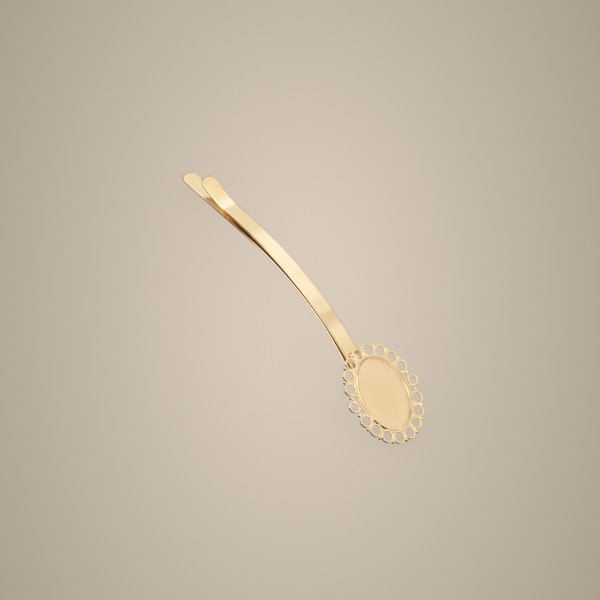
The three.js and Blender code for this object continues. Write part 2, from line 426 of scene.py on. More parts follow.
laceLook.update({
    "pale": (0.97, 0.86, 0.66, 1), "deep": (0.91, 0.74, 0.47, 1), "driftSize": 1.6 * mm,
    "roughness": 0.09, "smudged": 0.08, "lineGloss": 0.04, "patchSize": 0.9 * mm,
    "lineSize": 0.12 * mm, "lineDepth": 0.002 * mm,
    "waveSize": 0.45 * mm, "wave": 0.05 * mm, "edgeTint": (0.72, 0.56, 0.30, 1),
    "layers": {
        "ridge": layer((0.99, 0.92, 0.78), 0.6),
        # hollow: tarnish together with painted shade in the lace's hollows
        "hollow": layer((0.42, 0.24, 0.09), 0.85, broken=0.5, rough=0.15),
        # dull: painted shade on the outer edges
        "dull": layer((0.03, 0.014, 0.0), 1.0, broken=0.2, rough=0.15),
        # slit: a painted black shadow of a gap beside the cup
        "slit": layer((0.035, 0.016, 0.0), 1.0, rough=0.20),
    },
})
solderLook = dict(cupLook)
solderLook.update({
    "pale": (0.87, 0.72, 0.48, 1), "deep": (0.80, 0.63, 0.39, 1),
    "roughness": 0.34, "smudged": 0.16, "lineGloss": 0.04,
    "lineSize": 0.1 * mm, "lineDepth": 0.004 * mm,
    "waveSize": 0.8 * mm, "wave": 0.04 * mm,
    "layers": {
        "ridge": layer((0.97, 0.86, 0.66), 0.6),
        # hollow: tarnish together with painted shade in the hollows
        "hollow": layer((0.42, 0.24, 0.09), 0.5, broken=0.5, rough=0.15),
    },
})
stripGold = goldPlating("stripGold", stripLook)
cupGold = goldPlating("cupGold", cupLook)
laceGold = goldPlating("laceGold", laceLook)
solderGold = goldPlating("solderGold", solderLook)
print("gold finishes made")


# The spring strip: one flat strip folded back on itself, arched to the head

strip = {
    "width": 4.2 * mm,
    "thick": 0.55 * mm,
    "edgeRound": 0.24 * mm,
    "edgeSteps": 6,
    "sharpAngle": math.radians(50),   # edges sharper than this are rounded
    "smoothAngle": math.radians(40),
    "normalWeight": 80,
    "archRadius": 86 * mm,
    "archLength": 52 * mm,
    "straight": 6.1 * mm,
    "flareRadius": 6 * mm,
    "flareTurn": math.radians(11),
    "curlTurn": math.radians(9),     # the flare goes on curling up to its tip
    "upperLength": 67.8 * mm,
    "lowerLength": 73.6 * mm,
    "foldGap": 1.4 * mm,
    "pinchGap": 0.36 * mm,
    "pinchAt": 22 * mm,
    "tipGap": 0.85 * mm,
    "seamAt": 1.5 * mm,      # the two meshes meet here, under the cup
    "seamReach": 0.02 * mm,  # edges this close to the seam stay sharp
    "step": 0.9 * mm,
    "foldSteps": 20,
    "tipSides": 11,
    "tipLength": 2.0 * mm,
    "tipBluntness": 2.15,    # 2 is an ellipse, more is squarer
    "toeLength": 5 * mm,     # the lower tip turns up a little
    "toeTurn": math.radians(3),
    "toeOverrun": 1.1,       # its bend goes on past its end, where slopes are still measured
    "slopeReach": 0.05 * mm,
    "measureStep": 0.3 * mm,
    "formReach": 0.10 * mm,
}
bendRadius = (strip["foldGap"] + strip["thick"]) / 2
foldStart = Vector((foldEdge.x - bendRadius - strip["thick"] / 2, foldEdge.y, foldEdge.z + bendRadius))
archTurn = strip["archLength"] / strip["archRadius"]
archBend = (strip["archLength"], archTurn)
flareBend = (strip["flareRadius"] * strip["flareTurn"], -strip["flareTurn"])
curlLength = strip["upperLength"] - strip["archLength"] - strip["straight"] - flareBend[0]
curlBend = (curlLength, -strip["curlTurn"])
upperBends = (archBend, (strip["straight"], 0), flareBend, curlBend)
lowerStraight = strip["lowerLength"] - strip["archLength"] - strip["toeLength"]
toeBend = (strip["toeLength"] * strip["toeOverrun"], -strip["toeTurn"] * strip["toeOverrun"])
lowerBends = (archBend, (lowerStraight, 0), toeBend)


def walkStrip(bends, distance):   # the strip's middle line: place and slope at a distance from the fold
    x, z, slope = foldStart.x, foldStart.z, 0.0
    for length, turn in bends:
        run = min(distance, length)
        half = turn * run / length / 2
        chord = run * (math.sin(half) / half if abs(half) > tiny else 1)
        x -= chord * math.cos(slope + half)
        z -= chord * math.sin(slope + half)
        slope += 2 * half
        distance -= run
    return Vector((x, foldStart.y, z)), slope


def legGap(distance):
    fold, pinch, tip = strip["foldGap"], strip["pinchGap"], strip["tipGap"]
    if distance < strip["pinchAt"]:
        return pinch + (fold - pinch) * (1 + math.cos(math.pi * distance / strip["pinchAt"])) / 2
    share = min(1, (distance - strip["pinchAt"]) / (strip["archLength"] - strip["pinchAt"]))
    return pinch + (tip - pinch) * share * share * (3 - 2 * share)


def lowerPlace(distance):
    place, slope = walkStrip(lowerBends, distance)
    drop = strip["thick"] + legGap(distance)
    return place + drop * Vector((math.sin(slope), 0, -math.cos(slope)))


def upperWalk(distance):
    return walkStrip(upperBends, distance)


def lowerWalk(distance):
    reach = strip["slopeReach"]
    ahead = lowerPlace(distance + reach) - lowerPlace(distance - reach)
    return lowerPlace(distance), math.atan2(-ahead.z, -ahead.x)


def stripStops(start, end, step):
    count = max(1, round((end - start) / step))
    return [start + (end - start) * index / count for index in range(count + 1)]


def legStations(walk, start, length):   # place, slope and half width, with a blunt round tip
    radius, power = strip["width"] / 2, strip["tipBluntness"]
    tipStart = length - strip["tipLength"]
    stations = [(*walk(stop), radius) for stop in stripStops(start, tipStart, strip["step"])]
    for side in range(strip["tipSides"]):
        share = math.sin(math.pi / 2 * (side + 1) / (strip["tipSides"] + 0.5))
        stop = tipStart + strip["tipLength"] * share
        stations.append((*walk(stop), radius * (1 - share**power) ** (1 / power)))
    return stations


def foldStations():   # from under the cup round the fold to the lower leg
    stations = []
    for stop in stripStops(0, strip["seamAt"], strip["step"]):
        place, slope = walkStrip(upperBends, strip["seamAt"] - stop)
        stations.append((place, math.pi + slope, strip["width"] / 2))
    for index in range(1, strip["foldSteps"] + 1):
        angle = math.pi * index / strip["foldSteps"]
        place = foldStart + bendRadius * Vector((math.sin(angle), 0, math.cos(angle) - 1))
        stations.append((place, math.pi - angle, strip["width"] / 2))
    return stations


def drawStrip(name, stations, walk, length):
    clearSelection()
    place, slope, half = stations[0]
    bpy.ops.mesh.primitive_plane_add(size=1, location=place, rotation=(0, -math.pi / 2 - slope, 0))
    leg = namedPiece(name)
    leg.scale = (strip["thick"], 2 * half, 1)
    bpy.ops.object.transform_apply(location=True, rotation=True, scale=True)
    startEditing(leg)
    bpy.ops.mesh.select_all(action="SELECT")
    for (here, slopeHere, halfHere), (there, slopeThere, halfThere) in zip(stations, stations[1:]):
        extrudeBy(there - here)
        bpy.ops.transform.rotate(value=slopeThere - slopeHere, orient_axis="Y", center_override=there)
        bpy.ops.transform.resize(value=(1, halfThere / halfHere, 1), center_override=there)
    evenNormals()
    along = (stations[1][0] - place).normalized()

    def longEdge(middle, angle):   # all sharp edges but those of the seam
        return angle > strip["sharpAngle"] and abs((middle - place).dot(along)) > strip["seamReach"]

    chooseEdges(leg, longEdge)
    roundEdges(strip["edgeRound"], strip["edgeSteps"])
    stopEditing()
    smoothShading(leg, strip["smoothAngle"])
    finishWith(leg, "WEIGHTED_NORMAL", keep_sharp=True, weight=strip["normalWeight"])
    completePiece(leg, legMeasures(leg.data, walk, length), stripGold)
    return leg


legZones = {   # along a leg, in mm from the fold: where a yellower tone, a painted light or a painted shade starts, is full, fades and ends
    "inner": (-1, 0, 60.5, 63),
    "tucked": (-1, 0, 18, 32),
    "deep": (18, 32, 51, 58),
    "cover": (-1, 0, 8.8, 9.9),
    "amber": (60.5, 62.5, 90, 91),
    "tip": (58, 60, 90, 91),
    "line": (-1, 0, 57.5, 60),
    "cupLine": (-1, 0, 17, 26),
    "strongLine": (40, 46, 57, 60),
    "lowEdge": (44, 50, 57.5, 60),
    "darkFlank": (47, 51, 57.5, 60),
    "paleEdge": (-1, 0, 28, 40),
    "lowerFlank": (44, 54, 90, 91),
    "lowerShade": (45, 50, 63, 66),
    "lowerPlain": (42, 47, 63, 66),
    "lowerTip": (63, 66, 90, 91),
    "lowerLit": (46, 50, 63, 66),
}
legTurns = {   # how far a face turns up or sideways, 0 to 1: where it starts to count and counts in full
    "inner": (0.72, 0.94),
    "topEdge": (0.06, 0.2),
    "flankUp": (0.6, 0.85),
    "flankSide": (0.4, 0.7),
    "lowFlank": (0.35, 0.65),
    "line": (0.5, 0.64),
    "lowEdgeSide": (0.2, 0.4),
    "lowEdgeDown": (0.15, 0.4),
    "ridgeSide": (0.35, 0.55),
    "ridgeUp": (0.1, 0.35),
    "cover": (0.7, 0.95),
}
legShares = {   # how strong a painted shade or painted highlight is in its zone
    "line": 0.3,
    "cupLine": 0.7,
    "strongLine": 0.7,
    "widerLine": 0.25,
    "strongFlank": 0.15,
    "darkFlank": 0.65,
    "paleEdge": 0.5,
    "lowerFlank": 0.75,
    "lowerShade": 0.5,
    "lowerTip": 0.5,
}


def legMeasures(mesh, walk, length):   # where a leg is yellower, where it gets painted reflection and shade of the gap, painted light under the lace, and painted highlights and painted shade on its edges
    points, normals = pointsAndNormals(mesh)
    stops = stripStops(0, length, strip["measureStep"])
    walked = [walk(stop) for stop in stops]
    ahead = foldStart.x - points[:, 0]
    distance = np.interp(ahead, [foldStart.x - place.x for place, slope in walked], stops)
    slopes = np.interp(distance, stops, [slope for place, slope in walked])
    facing = -np.sin(slopes) * normals[:, 0] + np.cos(slopes) * normals[:, 2]
    sideways = np.abs(normals[:, 1])

    def zone(name):   # 1 between two distances from the fold
        start, full, fades, ends = (stop * mm for stop in legZones[name])
        return smoothStep(distance, start, full) * (1 - smoothStep(distance, fades, ends))

    def weak(name):   # the same, at its own strength
        return legShares[name] * zone(name)

    def turned(values, name):   # 1 where faces turn that way
        return smoothStep(values, *legTurns[name])

    upper = walk is upperWalk
    # the faces that face the other leg carry the painted reflection and shade of the gap
    innerFace = turned(-facing if upper else facing, "inner") * (ahead > 0) * zone("inner")
    topEdge = turned(sideways, "topEdge") * (facing > 0)
    flank = (1 - turned(np.abs(facing), "flankUp")) * turned(sideways, "flankSide")
    lowFlank = flank * (1 - turned(facing, "lowFlank"))
    if upper:
        # painted shade: a dark line along the top edges, darker flanks and low edges towards the tip; painted
        # highlight near the fold and at the tip
        strong = zone("strongLine")
        line = topEdge * (1 - turned(sideways - legShares["widerLine"] * strong, "line"))
        dull = line * (legShares["line"] + weak("cupLine") + weak("strongLine")) * zone("line")
        lowEdge = turned(sideways, "lowEdgeSide") * turned(-facing, "lowEdgeDown")
        dull += lowFlank * zone("tip") + lowEdge * zone("lowEdge")
        dull += flank * (legShares["strongFlank"] * strong + weak("darkFlank"))
        pale = weak("paleEdge") + zone("tip")
        lit = innerFace
    else:
        # painted shade on the lower leg's flanks and edges towards the tip; painted highlight on its edges near
        # the fold and, half as strong, at the tip
        dull = lowFlank * weak("lowerFlank") + (topEdge + flank) * weak("lowerShade")
        pale = 1 - zone("lowerPlain") - weak("lowerTip")
        # on the lower leg the painted gap reflection also reaches the top edge
        lit = np.maximum(innerFace, topEdge * zone("lowerLit"))
    return {
        "amber": zone("amber") * upper,
        "inner": lit,
        "tucked": innerFace * zone("tucked"),
        "deep": innerFace * zone("deep"),
        "side": flank,
        "ridge": turned(sideways, "ridgeSide") * turned(facing, "ridgeUp") * pale,
        "hollow": hollowness(mesh, strip["formReach"], rounds=1),
        "dull": dull,
        "cover": turned(facing, "cover") * zone("cover") * upper,
    }


upperStations = legStations(upperWalk, strip["seamAt"], strip["upperLength"])
upperLeg = drawStrip("upperLeg", upperStations, upperWalk, strip["upperLength"])
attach(upperLeg, "upper_jaw")
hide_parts("upper_leg")

lowerStations = foldStations() + legStations(lowerWalk, strip["step"], strip["lowerLength"])
lowerLeg = drawStrip("lowerLeg", lowerStations, lowerWalk, strip["lowerLength"])
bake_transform(lowerLeg)
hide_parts("lower_leg")
print("strip drawn:", len(upperLeg.data.polygons), "and", len(lowerLeg.data.polygons), "faces")


# The oval cup: a stamped tray with a thin wall, a rounded rim and a softly dished floor

cup = {
    "length": 18 * mm,
    "width": 13 * mm,
    "wall": 0.45 * mm,
    "floor": 0.35 * mm,
    "depth": 0.9 * mm,
    "sides": 144,
    "rimRound": 0.32 * mm,      # on its outer side
    "rimInner": 0.13 * mm,
    "footRound": 0.25 * mm,
    "floorRound": 0.14 * mm,
    "roundSteps": 5,
    "rimSplit": 1.02,           # a share of the seat's size, between the rim's two edges
    "sharpAngle": math.radians(60),
    "sameLevel": 0.01 * mm,     # heights this close count as one
    "facesUp": 0.9,             # a normal counts as upright above this
    "creaseLow": 0.46 * mm,     # where the lace meets the wall, above the seat
    "creaseHigh": 0.57 * mm,
    "dish": 0.05 * mm,
    "dishRings": (0.93, 0.84, 0.72, 0.58, 0.42, 0.24),   # shares of the floor's size
    "smoothAngle": math.radians(40),
    "normalWeight": 70,
}
cupTone = {   # where its finish and its painted light and shade change: angles in degrees round the oval, sizes as shares of the seat's
    "formReach": 0.12 * mm,
    # crease, line and tan: painted shade where the lace meets the wall, under the rim and on the inner wall
    "crease": 0.3,
    "gapeReach": 0.02 * mm,
    "gapShadowArcs": ((-60, -53), (-46, -36)),   # arcs where a black painted shadow stands for a gap between the lace and the wall
    "gapShadowFade": 1,
    "lineSize": 1.03,
    "lineStart": 0.14 * mm,    # a painted shade line this far below the rim
    "lineFull": 0.03 * mm,
    "lineFades": (3 * mm, 7 * mm),       # towards the end away from the tips
    "lineFaded": 0.8,
    "faintLine": (130, 180),
    "fainter": 0.5,
    "tanWall": (30, 65),       # where the wall's inner side gets painted shade
    "tan": 0.7,
    "softFade": 15,
    "satinSize": 0.99,
    "satinTurn": (0.6, 0.95),
    "wallSize": 1.005,
    "wallTurn": (0.3, 0.8),
    "amberAt": 1.6 * mm,       # the middle of the yellower part of the floor
    "amberFade": (0.08, 0.40),
}
outerLength = cup["length"] / 2 + cup["wall"]   # the wall's outer half sizes
outerWidth = cup["width"] / 2 + cup["wall"]


def ovalShare(x, y, beyond=0.0):   # 1 on an oval that lies this far outside the seat's edge
    return np.hypot(x / (cup["length"] / 2 + beyond), y / (cup["width"] / 2 + beyond))


def roundOval(points, low, high, soft):   # 1 between two angles round the oval, in degrees
    angle = np.degrees(np.arctan2(points[:, 1] / cup["width"], points[:, 0] / cup["length"]))
    return smoothStep(angle, low - soft, low) * (1 - smoothStep(angle, high, high + soft))


def atGapShadows(points):
    return sum(roundOval(points, low, high, cupTone["gapShadowFade"]) for low, high in cupTone["gapShadowArcs"])


def sharpAt(height):
    return lambda middle, angle: angle > cup["sharpAngle"] and abs(middle.z - height) < cup["sameLevel"]


def rimEdge(outer):
    sharp = sharpAt(cup["depth"])

    def test(middle, angle):
        onOuter = bool(ovalShare(middle.x, middle.y) > cup["rimSplit"])
        return sharp(middle, angle) and onOuter == outer

    return test


def shapeTray():   # a floor, a wall with the lace's crease, and the seat sunk into them
    clearSelection()
    foot = (0, 0, -cup["floor"])
    bpy.ops.mesh.primitive_circle_add(vertices=cup["sides"], radius=1, fill_type="NGON", location=foot)
    tray = namedPiece("bezelCup")
    bpy.ops.object.transform_apply(location=True, rotation=False, scale=False)
    startEditing(tray)
    bpy.ops.mesh.select_all(action="SELECT")
    bpy.ops.transform.resize(value=(outerLength, outerWidth, 1), center_override=foot)
    heights = (-cup["floor"], cup["creaseLow"], cup["creaseHigh"], cup["depth"])
    for low, high in zip(heights, heights[1:]):
        extrudeBy((0, 0, high - low))
    evenNormals()
    chooseFaces(tray, lambda middle, normal: normal.z > cup["facesUp"])
    bpy.ops.mesh.inset(thickness=cup["wall"], depth=0)
    extrudeBy((0, 0, -cup["depth"]))
    return tray


def roundTray(tray):
    rounds = ((sharpAt(0), "floorRound"), (rimEdge(True), "rimRound"), (rimEdge(False), "rimInner"),
              (sharpAt(-cup["floor"]), "footRound"))
    for test, size in rounds:
        chooseEdges(tray, test)
        roundEdges(cup[size], cup["roundSteps"])


def dishFloor(tray):
    chooseFaces(tray, lambda middle, normal: normal.z > cup["facesUp"] and middle.length < cup["depth"] / 2)
    sizeBefore, dropBefore = 1.0, 0.0
    for size in cup["dishRings"]:
        drop = cup["dish"] * (1 - size * size)
        ratio = size / sizeBefore
        extrudeBy((0, 0, dropBefore - drop))
        bpy.ops.transform.resize(value=(ratio, ratio, 1), center_override=(0, 0, -drop))
        sizeBefore, dropBefore = size, drop


def cupMeasures(mesh):
    form = hollowness(mesh, cupTone["formReach"], rounds=1)
    points, normals = pointsAndNormals(mesh)
    x, y, z = points.T
    up = normals[:, 2]
    size = ovalShare(x, y)
    crease = abs(z - cup["creaseLow"]) < cup["sameLevel"]
    gape = (abs(z - cup["creaseHigh"]) < cupTone["gapeReach"]) + crease
    line = smoothStep(z, cup["depth"] - cupTone["lineStart"], cup["depth"] - cupTone["lineFull"])
    line *= size < cupTone["lineSize"]
    line *= 1 - cupTone["lineFaded"] * smoothStep(x, *cupTone["lineFades"])
    line *= 1 - cupTone["fainter"] * roundOval(points, *cupTone["faintLine"], cupTone["softFade"])
    satin = (size < cupTone["satinSize"]) * smoothStep(up, *cupTone["satinTurn"])
    wall = (size < cupTone["wallSize"]) * (1 - smoothStep(up, *cupTone["wallTurn"]))
    tan = cupTone["tan"] * wall * roundOval(points, *cupTone["tanWall"], cupTone["softFade"])
    fromAmber = np.hypot((x - cupTone["amberAt"]) / cup["length"], y / cup["width"])
    return {
        # tarnish in the hollows, with painted shade there, at the crease, under the rim and on the inner wall
        "hollow": form + cupTone["crease"] * crease + line + tan,
        "ridge": -form,
        "satin": satin,
        "amber": satin * (1 - smoothStep(fromAmber, *cupTone["amberFade"])),
        # painted light: the inner wall paler
        "inner": wall,
        # a painted black shadow of a gap where the lace meets the wall
        "slit": gape * atGapShadows(points),
    }


def stampCup():
    tray = shapeTray()
    roundTray(tray)
    dishFloor(tray)
    evenNormals()
    stopEditing()
    smoothShading(tray, cup["smoothAngle"])
    finishWith(tray, "WEIGHTED_NORMAL", keep_sharp=True, weight=cup["normalWeight"])
    completePiece(tray, cupMeasures(tray.data), cupGold)
    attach(tray, "upper_jaw")
    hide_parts("bezel_cup")
    return tray


bezelCup = stampCup()
print("cup stamped:", len(bezelCup.data.polygons), "faces")


# The lace border: wire rings soldered to each other and to the cup, with grains in the notches

lace = {
    "wire": {"lace_ring": 0.39 * mm, "side_ring": 0.40 * mm, "small_ring": 0.26 * mm},
    "grow": {"lace_ring": 1.0, "side_ring": 1.0, "small_ring": 1.2},   # small ones reach into the others
    "tall": 0.55 * mm,
    "squareness": 0.55,         # 1 is a round wire, less is a flatter one
    "ringSides": 56,
    "wireSides": 20,
    "grainSides": 20,
    "grainRows": 12,
    "thicker": {"lace_ring": 0.2, "side_ring": 0.1, "small_ring": 0.0},   # on a ring's outer side
    "thickerPower": 1.5,
    "beads": {"lace_ring": 6, "side_ring": 6, "small_ring": 0},           # on its outer edge
    "bead": 0.52 * mm,
    "beadInset": 0.20 * mm,
    "beadLift": 0.10 * mm,
    "beadSpread": math.radians(160),
    "bandWidth": 0.38 * mm,     # the flat band round the cup that carries the rings
    "bandTall": 0.56 * mm,
    "bandLift": 0.13 * mm,
    "reachGap": 0.25 * mm,      # rings closer than this are soldered together
    "smallest": 1.2 * mm,       # if their radius is larger than this
    "filledOutside": 1.5 * mm,  # and filled on the outside if it is larger than this
    "wallSteps": 720,
    "ringDot": 0.30 * mm,
    "webTall": 0.44 * mm,       # the fillings in the corners between rings
    "webDrop": 0.03 * mm,
    "innerWeb": 0.34,           # an inner one's radius, as a share of the way from the wall
    "outerWeb": 0.42 * mm,
    "outerWebAt": 0.62 * mm,
    "voxel": 0.058 * mm,
    "smoothRounds": 3,
    "smoothShare": 0.5,
    "triangles": 180000,
    "formReach": 0.10 * mm,
    "formRounds": 3,
    "darkSide": (0.43, -0.90),  # painted shade on the outer edges that face this way
    "darkTurn": (0.72, 0.86),
    "steep": (0.08, 0.26),      # from nearly level faces to steep ones
    "underside": -0.4,
    "brightZone": 1.9 * mm,     # nearer to the wall than this they get no painted shade
    "gapShadowZone": 0.26 * mm,
    "tiltJitter": 2.0,          # degrees
    "sizeJitter": 0.015,
    "seed": 11,
}
laceKinds = ("lace_ring", "small_ring", "side_ring", "lace_grain", "end_grain")
handMade = random.Random(lace["seed"])


def laceSpots(kind):   # each piece's centre in the cup's axes and its outside diameter
    spots = []
    for name in sorted(frame["nodes"]):
        if name.startswith(kind):
            low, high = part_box(name)
            spots.append((restToCup @ ((low + high) / 2), high.y - low.y))
    return spots


def squared(value):   # flattens a round section
    return math.copysign(abs(value) ** lace["squareness"], value)


def wireRing(kind, diameter):   # its outer side, towards +X, is the thicker one
    clearSelection()
    wire = lace["wire"][kind] / 2
    bpy.ops.mesh.primitive_torus_add(major_segments=lace["ringSides"], minor_segments=lace["wireSides"],
                                     major_radius=diameter / 2 - wire, minor_radius=wire)
    ring = namedPiece(kind)
    for vertex in ring.data.vertices:
        angle = math.atan2(vertex.co.y, vertex.co.x)
        across = squared((math.hypot(vertex.co.x, vertex.co.y) - diameter / 2 + wire) / wire)
        half = wire * (1 + lace["thicker"][kind] * ((1 + math.cos(angle)) / 2) ** lace["thickerPower"])
        radius = diameter / 2 - half + across * half
        height = squared(vertex.co.z / wire) * lace["tall"] / 2
        vertex.co = (radius * math.cos(angle), radius * math.sin(angle), height)
    return ring


def roundGrain(name, diameter):
    clearSelection()
    bpy.ops.mesh.primitive_uv_sphere_add(segments=lace["grainSides"], ring_count=lace["grainRows"],
                                         radius=diameter / 2)
    return namedPiece(name)


def placeCopy(model, place, turn=0.0, jitter=0.0, size=1.0):
    copy = model.copy()
    copy.data = model.data.copy()
    bpy.context.scene.collection.objects.link(copy)
    tilt = [math.radians(handMade.uniform(-jitter, jitter)) for _ in range(2)]
    copy.rotation_euler = (tilt[0], tilt[1], turn)
    copy.scale = (size, size, 1)
    copy.location = place
    return copy


def wallPoint(place):   # the nearest point of the cup's outer wall
    best = None
    for step in range(lace["wallSteps"]):
        angle = math.tau * step / lace["wallSteps"]
        point = Vector((outerLength * math.cos(angle), outerWidth * math.sin(angle), place.z))
        if best is None or (point - place).length < (best - place).length:
            best = point
    return best


def cupBand(height):   # a flat oval band against the cup's wall
    clearSelection()
    bpy.ops.mesh.primitive_circle_add(vertices=cup["sides"], radius=1, fill_type="NOTHING")
    band = namedPiece("cupBand")
    startEditing(band)
    bpy.ops.mesh.select_mode(type="VERT")
    bpy.ops.mesh.select_all(action="SELECT")
    inner = Vector((cup["length"] / 2 + cup["wall"] / 2, cup["width"] / 2 + cup["wall"] / 2, 1))
    reach = cup["wall"] / 2 + lace["bandWidth"]
    outer = Vector(((inner.x + reach) / inner.x, (inner.y + reach) / inner.y, 1))
    bpy.ops.transform.resize(value=inner, center_override=(0, 0, 0))
    extrudeBy((0, 0, 0))
    bpy.ops.transform.resize(value=outer, center_override=(0, 0, 0))
    stopEditing()
    band.location.z = height + lace["bandLift"]
    finishWith(band, "SOLIDIFY", thickness=lace["bandTall"], offset=0)
    return band


def beadEdge(bead, place, diameter, turn, count):
    beads = []
    for index in range(count):
        angle = turn + lace["beadSpread"] * ((index + 0.5) / count - 0.5)
        out = diameter / 2 - lace["beadInset"]
        offset = Vector((out * math.cos(angle), out * math.sin(angle), lace["beadLift"]))
        beads.append(placeCopy(bead, place + offset))
    return beads


def fillCorners(web, middle, withOuter):   # on the wall's side of two rings' meeting point, and outside it
    foot = wallPoint(middle)
    out = middle - foot
    drop = Vector((0, 0, -lace["webDrop"]))
    fills = [placeCopy(web, foot + out * 0.5 + drop, size=lace["innerWeb"] * out.length)]
    if withOuter:
        place = middle + out.normalized() * lace["outerWebAt"] + drop
        fills.append(placeCopy(web, place, size=lace["outerWeb"]))
    return fills


def roundWeb():   # a flat button of 1 m radius, copied at its own size
    web = roundGrain("web", 2)
    startEditing(web)
    bpy.ops.mesh.select_all(action="SELECT")
    bpy.ops.transform.resize(value=(1, 1, lace["webTall"] / 2), center_override=(0, 0, 0))
    stopEditing()
    return web


def placeRings(bead, web):   # each ring and grain at its node's place, and the rings' centres and radii
    parts, rings = [], []
    for kind in laceKinds:
        spots = laceSpots(kind)
        isRing = kind.endswith("ring")
        model = wireRing(kind, spots[0][1]) if isRing else roundGrain(kind, spots[0][1])
        for place, diameter in spots:
            size = lace["grow"].get(kind, 1) * (1 + handMade.uniform(-1, 1) * lace["sizeJitter"])
            away = place - wallPoint(place)
            turn = math.atan2(away.y, away.x)
            parts.append(placeCopy(model, place, turn, lace["tiltJitter"] if isRing else 0, size))
            if kind == "side_ring":
                nearEdge = wallPoint(place) + away.normalized() * (away.length - diameter / 2)
                parts.extend(fillCorners(web, nearEdge, False))
            if isRing:
                rings.append((place, diameter / 2))
                parts.extend(beadEdge(bead, place, diameter, turn, lace["beads"][kind]))
        bpy.data.objects.remove(model)
    return parts, rings


def joinRings(rings, web):   # a dot of solder where two rings meet, and fillings beside it
    parts = []
    dot = roundGrain("ringDot", 2 * lace["ringDot"])
    for index, (place, radius) in enumerate(rings):
        for other, otherRadius in rings[:index]:
            smaller = min(radius, otherRadius)
            apart = (other - place).length
            gap = apart - radius - otherRadius
            if smaller > lace["smallest"] and gap < lace["reachGap"]:
                middle = place.lerp(other, (radius + gap / 2) / apart)
                parts.append(placeCopy(dot, middle))
                parts.extend(fillCorners(web, middle, smaller > lace["filledOutside"]))
    bpy.data.objects.remove(dot)
    return parts


def meltTogether(parts):
    clearSelection()
    for part in parts:
        part.select_set(True)
    bpy.context.view_layer.objects.active = parts[0]
    bpy.ops.object.join()
    border = namedPiece("laceBorder")
    bpy.ops.object.transform_apply(location=True, rotation=True, scale=True)
    finishWith(border, "REMESH", mode="VOXEL", voxel_size=lace["voxel"], use_smooth_shade=True)
    finishWith(border, "SMOOTH", factor=lace["smoothShare"], iterations=lace["smoothRounds"])
    finishWith(border, "DECIMATE", ratio=lace["triangles"] / (2 * len(border.data.polygons)))
    return border


def laceMeasures(mesh):   # tarnish and painted shade in hollows, paler proud edges, painted shade on the outer edges and painted gap shadows beside the cup
    form = hollowness(mesh, lace["formReach"], lace["formRounds"])
    points, normals = pointsAndNormals(mesh)
    x, y = points[:, 0], points[:, 1]
    up = normals[:, 2]
    outward = x * normals[:, 0] / outerLength**2 + y * normals[:, 1] / outerWidth**2
    level = np.maximum(np.hypot(normals[:, 0], normals[:, 1]), tiny)
    facing = normals[:, :2] @ np.array(lace["darkSide"]) / level
    dull = smoothStep(1 - up, *lace["steep"]) * smoothStep(facing, *lace["darkTurn"])
    dull *= (up > lace["underside"]) * (outward > 0)
    dull *= ovalShare(x, y, cup["wall"] + lace["brightZone"]) > 1
    beside = ovalShare(x, y, cup["wall"] + lace["gapShadowZone"]) < 1
    return {"hollow": form, "ridge": -form, "dull": dull, "slit": beside * atGapShadows(points)}


def solderLace():
    bead = roundGrain("bead", lace["bead"])
    web = roundWeb()
    parts, rings = placeRings(bead, web)
    parts.extend(joinRings(rings, web))
    parts.append(cupBand(rings[0][0].z))
    for model in (bead, web):
        bpy.data.objects.remove(model)
    border = meltTogether(parts)
    completePiece(border, laceMeasures(border.data), laceGold)
    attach(border, "upper_jaw")
    names = [name for name in sorted(frame["nodes"]) if name.startswith(laceKinds)]
    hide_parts(*names)
    return border


laceBorder = solderLace()
laceBorder.data.calc_loop_triangles()
print("lace soldered:", len(laceBorder.data.loop_triangles), "triangles")


# The solder between the arched strip and the cup's flat underside

solder = {
    "start": 0.5 * mm,
    "length": 6.2 * mm,
    "halfWidth": 1.95 * mm,
    "bite": 0.03 * mm,         # how far it reaches into the cup and the strip
    "waist": 0.25 * mm,
    "cuts": 15,
    "uneven": 0.10 * mm,
    "ripples": ((1.9, 1.0), (4.3, 0.6)),   # radians per mm along the strip, and strength
    "taper": 0.35,             # towards its ends
    "taperPower": 4,
    "smoothAngle": math.radians(60),
    "formReach": 0.1 * mm,
    "seed": 5,
}


def flowSolder():
    clearSelection()
    bpy.ops.mesh.primitive_cube_add(size=1)
    bead = namedPiece("solderFillet")
    startEditing(bead)
    bpy.ops.mesh.select_all(action="SELECT")
    bpy.ops.mesh.subdivide(number_cuts=solder["cuts"])
    stopEditing()
    flow = random.Random(solder["seed"])
    phases = [flow.uniform(0, math.tau) for _ in solder["ripples"]]
    for vertex in bead.data.vertices:
        share = vertex.co.copy()
        distance = solder["start"] + (0.5 - share.x) * solder["length"]
        place, slope = walkStrip(upperBends, distance)
        low = place.z + strip["thick"] / 2 * math.cos(slope) - solder["bite"]
        high = -cup["floor"] + solder["bite"]
        rise = share.z + 0.5
        pinch = 1 - 4 * (rise - 0.5) ** 2
        wave = sum(strength * math.sin(distance / mm * turn + phase)
                   for (turn, strength), phase in zip(solder["ripples"], phases))
        taper = 1 - solder["taper"] * abs(2 * share.x) ** solder["taperPower"]
        half = (solder["halfWidth"] + solder["uneven"] * wave) * taper - solder["waist"] * pinch
        vertex.co = (place.x, foldStart.y + 2 * share.y * half, low + (high - low) * rise)
    finishWith(bead, "SUBSURF", levels=1, render_levels=1)
    smoothShading(bead, solder["smoothAngle"])
    form = hollowness(bead.data, solder["formReach"], rounds=1)
    completePiece(bead, {"hollow": form, "ridge": -form}, solderGold)
    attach(bead, "upper_jaw")
    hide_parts("solder_joint")
    return bead


solderFillet = flowSolder()
print("solder flowed:", len(solderFillet.data.polygons), "faces")


# Camera: from the near side and above, tilted so that the clip hangs down to the right

